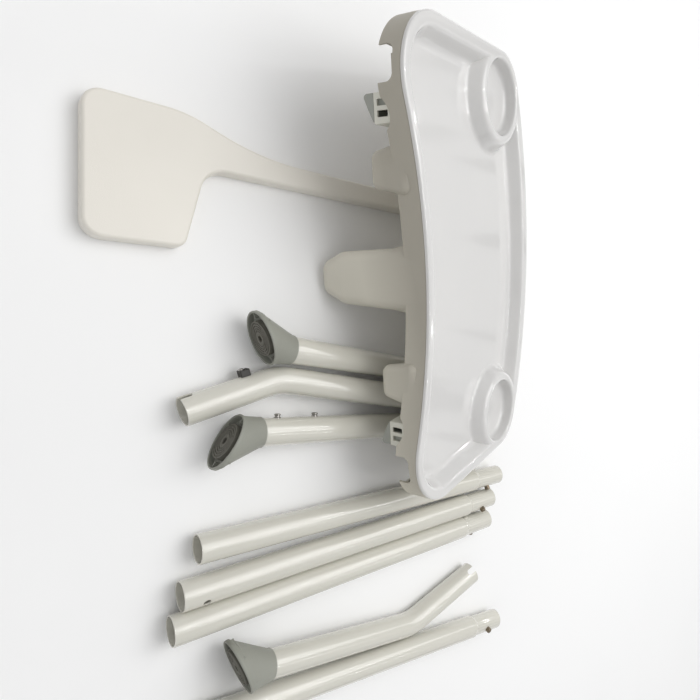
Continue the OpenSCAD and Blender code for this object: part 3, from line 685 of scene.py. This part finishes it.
# %% Buttons
BUTTON_R, FLANGE_R, FLANGE_T, PRESS, DOME = 3.5, 5, 1.2, 5.5, 1.6
FLANGE_TOP = math.sqrt(SWAGE_BORE_R ** 2 - FLANGE_R ** 2) - 0.2
BUTTON_TOP = SWAGE_R + PRESS
BUTTON = [(0, FLANGE_TOP - FLANGE_T), (FLANGE_R, FLANGE_TOP - FLANGE_T), (FLANGE_R, FLANGE_TOP),
          (BUTTON_R, FLANGE_TOP), (BUTTON_R, BUTTON_TOP - DOME)]
BUTTON += [(BUTTON_R * math.cos(a * math.pi / 16), BUTTON_TOP - DOME + DOME * math.sin(a * math.pi / 16))
           for a in range(1, 8)]
BUTTON += [(0, BUTTON_TOP)]
for i, place in enumerate(TUBES, 1):
    out = place @ roll(BUTTON_ROLL[i - 1]) @ move(0, BUTTON_Y, 0) @ turn(-90, "Z")
    make_piece(f"button_{i}", turned(BUTTON, 40, False), out, BRONZE, f"button_{i}", f"snap_button_{i}")

# %% [markdown]
# ## Bent lower legs
# A lower leg is one tube with a bend. A ring of edges is pushed along the foot's straight, spun round
# the bend's centre and pushed along the other straight, and the skin is then given the tube's wall.
# The open end has a key notch and a button hole.

# %% Leg tube
OPEN_RUN = (112, 96, 96, 112)
NOTCH_ROLL = (140, 20, 140, 140)
NOTCH_L, NOTCH_HALF = 12, 3.5
BEND_T = BEND_R * math.tan(math.radians(BEND / 2))


def ring_of(geom):
    return [e for e in geom if isinstance(e, bmesh.types.BMEdge)]


def bent_skin(run_in, run_out):
    """Skin of a bent tube, from its foot end round the bend to its open end"""
    bm = bmesh.new()
    toe = turn(-BEND, "Z") @ move(0, -run_in, 0) @ turn(-90, "X")
    bmesh.ops.create_circle(bm, segments=64, radius=TUBE_R, matrix=toe)
    edges = bm.edges[:]
    for length, direction in ((run_in - BEND_T, turn(-BEND, "Z")), (0, None), (run_out - BEND_T, Matrix())):
        if direction is None:
            made = bmesh.ops.spin(bm, geom=edges, cent=(-BEND_R, BEND_T, 0), axis=(0, 0, 1),
                                  angle=math.radians(BEND), steps=14)
            edges = ring_of(made["geom_last"])
        else:
            made = bmesh.ops.extrude_edge_only(bm, edges=edges)
            edges = ring_of(made["geom"])
            verts = {v for e in edges for v in e.verts}
            bmesh.ops.translate(bm, verts=list(verts), vec=direction @ Vector((0, length, 0)))
    return bm


def leg_tube(i):
    bm = bent_skin(FOOT_RUN + PLUG, OPEN_RUN[i])
    bmesh.ops.recalc_face_normals(bm, faces=bm.faces)
    middle = Vector((0, OPEN_RUN[i] - 5, 0))
    near = min(bm.faces, key=lambda f: (f.calc_center_median() - middle).length)
    if near.normal.dot(near.calc_center_median() - Vector((0, near.calc_center_median().y, 0))) < 0:
        bmesh.ops.reverse_faces(bm, faces=bm.faces)
    bmesh.ops.solidify(bm, geom=bm.faces[:], thickness=TUBE_WALL)
    bmesh.ops.recalc_face_normals(bm, faces=bm.faces)
    end = OPEN_RUN[i]
    rounded(bm, 0.4, 2, 60, lambda e: all(v.co.y > end - 0.1 for v in e.verts))
    slot = block((BORE_R - 3, end - NOTCH_L, -NOTCH_HALF), (BORE_R + 5, end + NOTCH_HALF, NOTCH_HALF))
    rounded(slot, NOTCH_HALF - 0.05, 8, 30, lambda e: all(v.co.y < end - NOTCH_L + 1 for v in e.verts)
            and abs(e.verts[0].co.x - e.verts[1].co.x) > 1)
    return cut(bm, placed(slot, roll(NOTCH_ROLL[i])), radial_rod(HOLE_R, end - BUTTON_BACK, NOTCH_ROLL[i] + 180))


LEG_BODY = ("legs_under_tray", "legs_under_tray", "legs_under_tray", "lower_leg_4")
for i, place in enumerate(LEGS):
    make_piece(f"leg_tube_{i + 1}", leg_tube(i), place, PAINT, LEG_BODY[i], f"lower_leg_{i + 1}", sharp=40)

# %% [markdown]
# ## Feet
# The grey foot is a socket that widens from the tube to a slanted oval mouth. A rubber pad with
# concentric grooves is screwed into it, so that a dark gap with thin ribs shows round the pad.

# %% Foot cup
CUP_WALL, CAVITY = 2.2, 9
FOOT = turn(-BEND, "Z") @ move(0, -FOOT_RUN, 0)
MOUTH = move(-MOUTH_SHIFT, -CUP_LEN, 0) @ turn(BEND + STANCE, "Z") @ UPRIGHT
RIB_COUNT, RIB_TURN, RIB_LOW, RIB_HIGH = 6, 15, (19.4, -0.7, -7.2), (26, 0.7, -2.6)
OVAL = Matrix.Diagonal((MOUTH_A / 27, MOUTH_B / 27, 1, 1))


def oval(bm, inset, z):
    """Ring of the mouth's oval, drawn in by inset; +Z points out of the mouth"""
    size = Matrix.Diagonal((MOUTH_A - inset, MOUTH_B - inset, 1, 1))
    return bmesh.ops.create_circle(bm, segments=72, radius=1, matrix=MOUTH @ move(0, 0, z) @ size)["verts"]


def collar_ring(bm, radius, y):
    return bmesh.ops.create_circle(bm, segments=72, radius=radius, matrix=move(0, y, 0) @ UPRIGHT)["verts"]


def foot_cup():
    bm = bmesh.new()
    rings = [collar_ring(bm, r, y) for r, y in ((TUBE_R + 0.02, -PLUG), (TUBE_R + 0.02, -0.3), (TUBE_R + 0.3, 0),
                                                (TUBE_R + 0.7, -0.05), (TUBE_R + 1, -0.5), (TUBE_R + 1.1, -3))]
    rings += [oval(bm, i, z) for i, z in ((0.3, -4), (0, -1.4), (0.15, -0.6), (0.6, -0.1), (1.1, 0), (1.7, -0.15),
                                          (2.05, -0.6), (CUP_WALL, -1.4), (CUP_WALL + 0.4, -6.5),
                                          (CUP_WALL + 4.5, -CAVITY))]
    for first, second in zip(rings, rings[1:]):
        loops = {e for v in first + second for e in v.link_edges if e.other_vert(v) in first + second}
        flat = [e for e in loops if (e.verts[0] in first) == (e.verts[1] in first)]
        bmesh.ops.bridge_loops(bm, edges=flat)
    for ring in (rings[0], rings[-1]):
        bmesh.ops.contextual_create(bm, geom=ring)
    bmesh.ops.recalc_face_normals(bm, faces=bm.faces)
    return bm


cup = foot_cup()
print("foot cup:", len(cup.faces), "faces, open edges:", sum(e.is_boundary for e in cup.edges))
cup.free()

# %% Pad with grooves
PAD_R, PAD_TOP, PAD_LOW, SCREW_R = 18, 0.8, -6.2, 3.3


def pad_profile():
    """Half profile of the pad as (radius, height), from the floor of the cup over its grooved face"""
    points = [(SCREW_R, -CAVITY), (10.8, -CAVITY), (10.8, PAD_LOW), (17.4, PAD_LOW), (PAD_R, PAD_LOW + 0.6),
              (PAD_R, PAD_TOP - 0.9), (17.8, PAD_TOP - 0.25), (17.2, PAD_TOP)]
    for k in (4, 3, 2, 1):
        r = 4.8 + k * 2.62
        points += [(r + 1.35, PAD_TOP), (r + 1.1, PAD_TOP - 0.25), (r + 0.9, PAD_TOP - 1), (r + 0.1, PAD_TOP - 1),
                   (r - 0.1, PAD_TOP - 0.25), (r - 0.35, PAD_TOP)]
    return points + [(SCREW_R + 0.6, PAD_TOP), (SCREW_R + 0.1, PAD_TOP - 0.2), (SCREW_R, PAD_TOP - 0.7)]


for i, place in enumerate(LEGS):
    foot_place = place @ FOOT
    cup = foot_cup()
    for k in range(RIB_COUNT):
        add_box(cup, RIB_LOW, RIB_HIGH, MOUTH @ OVAL @ turn(360 / RIB_COUNT * k + RIB_TURN, "Z"))
    make_piece(f"foot_{i + 1}", cup, foot_place, CUP_GREY, LEG_BODY[i], f"foot_cup_{i + 1}", sharp=50)
    pad = turned(pad_profile(), 72)
    make_piece(f"pad_{i + 1}", pad, foot_place @ MOUTH @ UPRIGHT, RUBBER, LEG_BODY[i], f"foot_pad_{i + 1}", sharp=50)

# %% [markdown]
# ## Tray latches
# Under each end of the deck a white housing holds a grey lever. The housing is open below and has
# slots in its walls. Both are boxes at heart, so they are cut from blocks and every edge is rounded.

# %% Housing and lever
END, SIDE = LATCH_L / 2, LATCH_W / 2
BOLT_Z, BOLT_HALF_W, BOLT_HALF_H, LATCH_GAP = -13, 5, 3, 0.3
TRAVEL, SPRING_ROOM = 6, 5
LEVER_L = LATCH_L - 2 * LATCH_WALL - TRAVEL - SPRING_ROOM
LEVER_FRONT = END - LATCH_WALL - LATCH_GAP
LEVER_BACK = LEVER_FRONT - LEVER_L
GRIP_SIDE = ((-12, -22.3), (-12, -24), (-7, -26.5), (2, -30.6), (10, -34), (12.5, -33.5), (14, -31), (14, -22.3))
GRIP_W = 24


def housing():
    bm = rounded(block((-END, -SIDE, -LATCH_H), (END, SIDE, 0)), 1.0, 3)
    low, high = BOLT_Z - BOLT_HALF_H - LATCH_GAP, BOLT_Z + BOLT_HALF_H + LATCH_GAP
    bm = cut(bm, block((LATCH_WALL - END, LATCH_WALL - SIDE, -LATCH_H - 1),
                       (END - LATCH_WALL, SIDE - LATCH_WALL, -5.5)),
             block((END - 3.5, -BOLT_HALF_W - LATCH_GAP, low), (END + 2.5, BOLT_HALF_W + LATCH_GAP, high)))
    for x in (-8, 2):
        bm = cut(bm, rounded(block((x, -SIDE - 1, -LATCH_H + 4), (x + 6, SIDE + 1, -6)), 0.8, 2))
    for k in (-1, 1):
        bm = cut(bm, placed(rod(1.62, 10, 24), move(0, k * SCREW_Y, -8) @ UPRIGHT))
    return bm


def lever():
    """Grip, body and bolt of the lever; the grip's side view is drawn and pushed across"""
    half = SIDE - LATCH_WALL - LATCH_GAP
    body = rounded(block((LEVER_BACK, -half, -LATCH_H - 1), (LEVER_FRONT, half, BOLT_Z + 4.5)), 0.6, 2)
    bolt = rounded(block((LEVER_BACK + 1, -BOLT_HALF_W, BOLT_Z - BOLT_HALF_H),
                         (22, BOLT_HALF_W, BOLT_Z + BOLT_HALF_H)), 0.9, 3)
    grip = bmesh.new()
    verts = [grip.verts.new((x, -GRIP_W / 2, z)) for x, z in GRIP_SIDE]
    face = bmesh.ops.contextual_create(grip, geom=verts)["faces"][0]
    return joined(rounded(pushed(grip, face, (0, GRIP_W, 0)), 1.4, 4, 20), body, bolt)


LATCHES = [TRAY @ move(side * LATCH_X, LATCH_Y, DECK_LOW) @ Matrix.Scale(side, 4, (1, 0, 0)) for side in (-1, 1)]
for i, place in enumerate(LATCHES, 1):
    make_piece(f"housing_{i}", housing(), place, LATCH_WHITE, "tray", f"latch_housing_{i}", sharp=40)
    make_piece(f"lever_grip_{i}", lever(), place, LATCH_GREY, f"lever_{i}", f"latch_lever_{i}", sharp=45)

# %% [markdown]
# ## The footrest
# The footrest is one flat moulding: a plate, flared on one side, and a long arm that ends in an
# upturned lug with a pin hole. Its outline is spun arc by arc like the tray's, pushed up to its
# thickness, and all its edges get the generous round of a moulded part.

# %% Footrest outline
REST_T, ARM_W, ARM_X, REST_Y, REST_DEPTH, LUG_Y, LUG_DEPTH = 18, 22, -181.5, 80, 72, 506, 30
LEFT, RIGHT = ARM_X - ARM_W / 2, ARM_X + ARM_W / 2
FLARE_Y, FLARE_R, FLARE_A, HIP_R, ROUND, CORNER, FILLET, SIDE_A = 274, 240, 21.4, 90, 16, 10, 25, 14
PLATE_TOP = REST_Y + REST_DEPTH
PLATE_LEFT = LEFT - 26
PLATE_RIGHT = PLATE_LEFT + 124.5


def footrest():
    bm = bmesh.new()
    start = bm.verts.new((RIGHT, LUG_Y, 0))
    tip = start

    def line_to(x, y):
        nonlocal tip
        tip = bmesh.ops.extrude_vert_indiv(bm, verts=[tip])["verts"][0]
        tip.co = (x, y, 0)

    def arc(centre, degrees, steps):
        nonlocal tip
        made = bmesh.ops.spin(bm, geom=[tip], cent=(*centre, 0), axis=(0, 0, 1), angle=math.radians(degrees),
                              steps=steps)
        tip = next(v for v in made["geom_last"] if isinstance(v, bmesh.types.BMVert))

    line_to(LEFT, LUG_Y)
    line_to(LEFT, FLARE_Y)
    arc((LEFT - FLARE_R, FLARE_Y), -FLARE_A, 16)
    hip = Vector((PLATE_LEFT + HIP_R, PLATE_TOP - 7))
    line_to(hip.x - HIP_R * math.cos(math.radians(FLARE_A)), hip.y + HIP_R * math.sin(math.radians(FLARE_A)))
    arc(hip, FLARE_A, 8)
    line_to(PLATE_LEFT, REST_Y + ROUND)
    arc((PLATE_LEFT + ROUND, REST_Y + ROUND), 90, 12)
    line_to(PLATE_RIGHT - ROUND, REST_Y)
    arc((PLATE_RIGHT - ROUND, REST_Y + ROUND), 90, 12)
    line_to(PLATE_RIGHT, PLATE_TOP)
    arc((PLATE_RIGHT - CORNER, PLATE_TOP), 90 - SIDE_A, 8)
    slant = math.radians(SIDE_A)
    fillet_x = RIGHT + FILLET * (1 - math.sin(slant))
    fillet_y = tip.co.y + (tip.co.x - fillet_x) * math.tan(slant)
    line_to(fillet_x, fillet_y)
    arc((RIGHT + FILLET, fillet_y + FILLET * math.cos(slant)), SIDE_A - 90, 12)
    bm.edges.new((tip, start))
    face = bmesh.ops.contextual_create(bm, geom=bm.edges[:])["faces"][0]
    return rounded(pushed(bm, face, (0, 0, REST_T)), 3.2, 4, 60)


# %% Lug with its pin hole
LUG_GAP, LUG_SHOULDER, LUG_DROP, PIN_R = 6.5, 6, 0.6, 4
LUG_R = LUG_DEPTH / 2 - LUG_SHOULDER
LUG_MIDDLE = LUG_Y - LUG_DEPTH / 2


def deck_height(x, y):
    """Height of the deck's underside over a point of the floor"""
    normal = TRAY.to_3x3().col[2]
    point = TRAY @ Vector((0, 0, DECK_LOW))
    return point.z - (normal.x * (x - point.x) + normal.y * (y - point.y)) / normal.z


PIN_Z = deck_height(RIGHT, LUG_MIDDLE) - LUG_GAP - LUG_R - LUG_DROP


def lug():
    post_block = rounded(block((LEFT, LUG_Y - LUG_DEPTH, 2), (RIGHT, LUG_Y, PIN_Z - 6)), 3, 4)
    head = bmesh.new()
    bmesh.ops.create_cone(head, cap_ends=True, segments=64, radius1=LUG_R, radius2=LUG_R, depth=ARM_W,
                          matrix=move(ARM_X, LUG_MIDDLE, PIN_Z) @ turn(90, "Y"))
    neck = block((LEFT + 0.4, LUG_MIDDLE - LUG_R, PIN_Z - 10), (RIGHT - 0.4, LUG_MIDDLE + LUG_R, PIN_Z))
    return joined(post_block, neck, rounded(head, 1.2, 3, 60))


rest = joined(footrest(), lug())
pin = placed(rod(PIN_R, ARM_W + 4), move(LEFT - 2, LUG_MIDDLE, PIN_Z) @ turn(-90, "Z") @ turn(3.1, "Y"))
rest = cut(rest, pin)
print("pin hole of the footrest at", round(PIN_Z, 2), "mm above the floor")
make_piece("footrest_moulding", rest, Matrix(), REST_SATIN, "footrest", "footrest", sharp=40)

# %% [markdown]
# ## Small fittings
# The clip and studs that hold the leg brace are a few millimetres across, but they catch the light.
# The studs are turned with a domed head on a narrower neck. Screws and the rivet keep their CAD shape
# and only get a metal finish.

# %% Studs and clip
STUD = ((0, -0.6), (3.5, -0.6), (3.5, 0.4), (2.6, 0.7), (2.4, 1.6), (3.0, 2.0), (3.5, 2.5), (3.4, 3.1), (2.7, 3.7),
        (1.5, 3.95), (0, 4))
STUD_Y = (17, 60)
BRACE_ROLL = roll(8)
studs = bmesh.new()
for y in STUD_Y:
    stud = placed(turned(STUD, 32, False), BRACE_ROLL @ move(TUBE_R, y, 0) @ turn(-90, "Z"))
    with_added(studs, stud)
make_piece("brace_stud_pair", studs, LEGS[2] @ FOOT, CHROME, "legs_under_tray", "brace_studs")

CLIP_Y, CLIP_HALF, CLIP_OUT, CLIP_LAP = 32, 5, 6.5, 1.2
clip = rounded(block((-CLIP_LAP, -CLIP_HALF, -CLIP_HALF), (CLIP_OUT, CLIP_HALF, CLIP_HALF)), 1.2, 3)
clip = cut(clip, placed(rod(TUBE_R + 0.02, 20, 96), move(-TUBE_R, -10, 0)))
for y in (-3, -0.5, 2):
    clip = cut(clip, block((CLIP_OUT - 1.1, y, -6), (8, y + 1, 6)))
make_piece("brace_clip_block", clip, LEGS[1] @ BRACE_ROLL @ move(TUBE_R, CLIP_Y, 0), BLACK_CLIP, "legs_under_tray",
           "brace_clip", sharp=40)

# %% Metal finishes on the CAD parts that stay
KEPT = {"brace_rivet": CHROME, "tray_screws": STEEL}
for i in range(1, 5):
    KEPT[f"foot_screw_{i}"] = DARK_SCREW
for node, finish in KEPT.items():
    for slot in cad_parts[node].material_slots:
        slot.material = finish
print("kept CAD parts:", len(KEPT))

# %% [markdown]
# A spring gives way when its button is pressed or its lever is drawn. Each spring is a copy of the CAD
# shape with a steel finish, tied to the piece it sits in.


def spring(node, body):
    """Copy of a CAD spring with a steel finish, tied to a body; the CAD part is hidden"""
    piece = bpy.data.objects.new(f"{node}_steel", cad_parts[node].data.copy())
    bpy.context.scene.collection.objects.link(piece)
    for slot in piece.material_slots:
        slot.material = STEEL
    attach(piece, body)
    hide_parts(node)
    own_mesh(piece)


for i, place in enumerate(TUBES, 1):
    spring(f"snap_spring_{i}", f"tube_{i}")
for i, place in enumerate(LATCHES, 1):
    spring(f"latch_spring_{i}", "tray")

# %% [markdown]
# ## Floor and light
# The floor is plain and pale, and shows white to the camera and in reflections. One broad overhead
# panel gives soft shade, and a few long narrow lamps above give the tubes their lengthwise streaks.
# Three small lamps behind the layout put sparkles on round corners. The sky mirrors as darker columns
# in the glossy tray, but the camera sees it plain.

# %% Floor
FLOOR_SIZE = 6


def pale_floor():
    finish = bpy.data.materials.new("pale_floor")
    finish.use_nodes = True
    nodes, links = finish.node_tree.nodes, finish.node_tree.links
    shader = nodes["Principled BSDF"]
    shader.inputs["Roughness"].default_value = 0.9
    shader.inputs["Specular IOR Level"].default_value = 0.1
    grain = nodes.new("ShaderNodeTexNoise")
    grain.inputs["Scale"].default_value = 3
    links.new(nodes.new("ShaderNodeTexCoord").outputs["Object"], grain.inputs["Vector"])
    tint = nodes.new("ShaderNodeMix")
    tint.data_type = "RGBA"
    tint.inputs["A"].default_value = (*shade(250, 250, 250), 1)
    tint.inputs["B"].default_value = (*shade(246, 246, 246), 1)
    links.new(grain.outputs["Fac"], tint.inputs["Factor"])
    links.new(tint.outputs["Result"], shader.inputs["Base Color"])
    return finish


floor_shape = bmesh.new()
bmesh.ops.create_grid(floor_shape, x_segments=2, y_segments=2, size=FLOOR_SIZE)
floor_mesh = bpy.data.meshes.new("floor")
floor_shape.to_mesh(floor_mesh)
floor_shape.free()
floor_mesh.materials.append(pale_floor())
floor = bpy.data.objects.new("floor", floor_mesh)
bpy.context.scene.collection.objects.link(floor)

# %% Lamps and world
STRIP_X, STRIP_SIZE, STRIP_POWER = (-0.5, 0.05, 0.6), (0.02, 1.6), 2.5
SPARKS = ((-1.0, 2.6, 1.1), (0.2, 3.0, 0.9), (-0.5, 2.2, 1.7))
SPARK_SIZE, SPARK_POWER = (0.05, 0.05), 1.2
COLUMN_SCALE = (24, 1, 2.5)
SKY_DARK, SKY_LIGHT = 0.2, 0.62
COLUMN_RANGE = (("From Min", 0.38), ("From Max", 0.42), ("To Min", SKY_DARK), ("To Max", SKY_LIGHT))


def area_lamp(name, place, target, size, power):
    """Adds a rectangular lamp in metres and watts that faces a target"""
    data = bpy.data.lights.new(name, "AREA")
    data.shape = "RECTANGLE"
    data.size, data.size_y = size
    data.energy = power
    lamp = bpy.data.objects.new(name, data)
    lamp.matrix_world = (Matrix.Translation(place)
                         @ (Vector(target) - Vector(place)).to_track_quat("-Z", "Y").to_matrix().to_4x4())
    bpy.context.scene.collection.objects.link(lamp)


area_lamp("overhead_panel", (-0.6, 0.85, 2.0), (0, 0.05, 0), (1.7, 1.7), 19)
for k, x in enumerate(STRIP_X):
    area_lamp(f"strip_{k}", (x, 0.6, 1.9), (x * 0.6, 0.0, 0.0), STRIP_SIZE, STRIP_POWER)
for k, place in enumerate(SPARKS):
    area_lamp(f"spark_{k}", place, (0, 0, 0), SPARK_SIZE, SPARK_POWER)

world = bpy.data.worlds.new("studio")
bpy.context.scene.world = world
world.use_nodes = True
nodes, links = world.node_tree.nodes, world.node_tree.links
sky = nodes["Background"]
sky.inputs["Color"].default_value = (1, 1, 1, 1)
stretch = nodes.new("ShaderNodeMapping")
stretch.inputs["Scale"].default_value = COLUMN_SCALE
links.new(nodes.new("ShaderNodeTexCoord").outputs["Generated"], stretch.inputs["Vector"])
columns = nodes.new("ShaderNodeTexNoise")
columns.inputs["Scale"].default_value = 1
columns.inputs["Detail"].default_value = 1
links.new(stretch.outputs["Vector"], columns.inputs["Vector"])
bands = nodes.new("ShaderNodeMapRange")
for socket, value in COLUMN_RANGE:
    bands.inputs[socket].default_value = value
links.new(columns.outputs["Fac"], bands.inputs["Value"])
plain = nodes.new("ShaderNodeMix")
plain.inputs["B"].default_value = SKY_LIGHT
links.new(nodes.new("ShaderNodeLightPath").outputs["Is Camera Ray"], plain.inputs["Factor"])
links.new(bands.outputs["Result"], plain.inputs["A"])
links.new(plain.outputs["Result"], sky.inputs["Strength"])
bpy.context.scene.view_settings.view_transform = "Standard"
print("lamps:", len(bpy.data.lights))
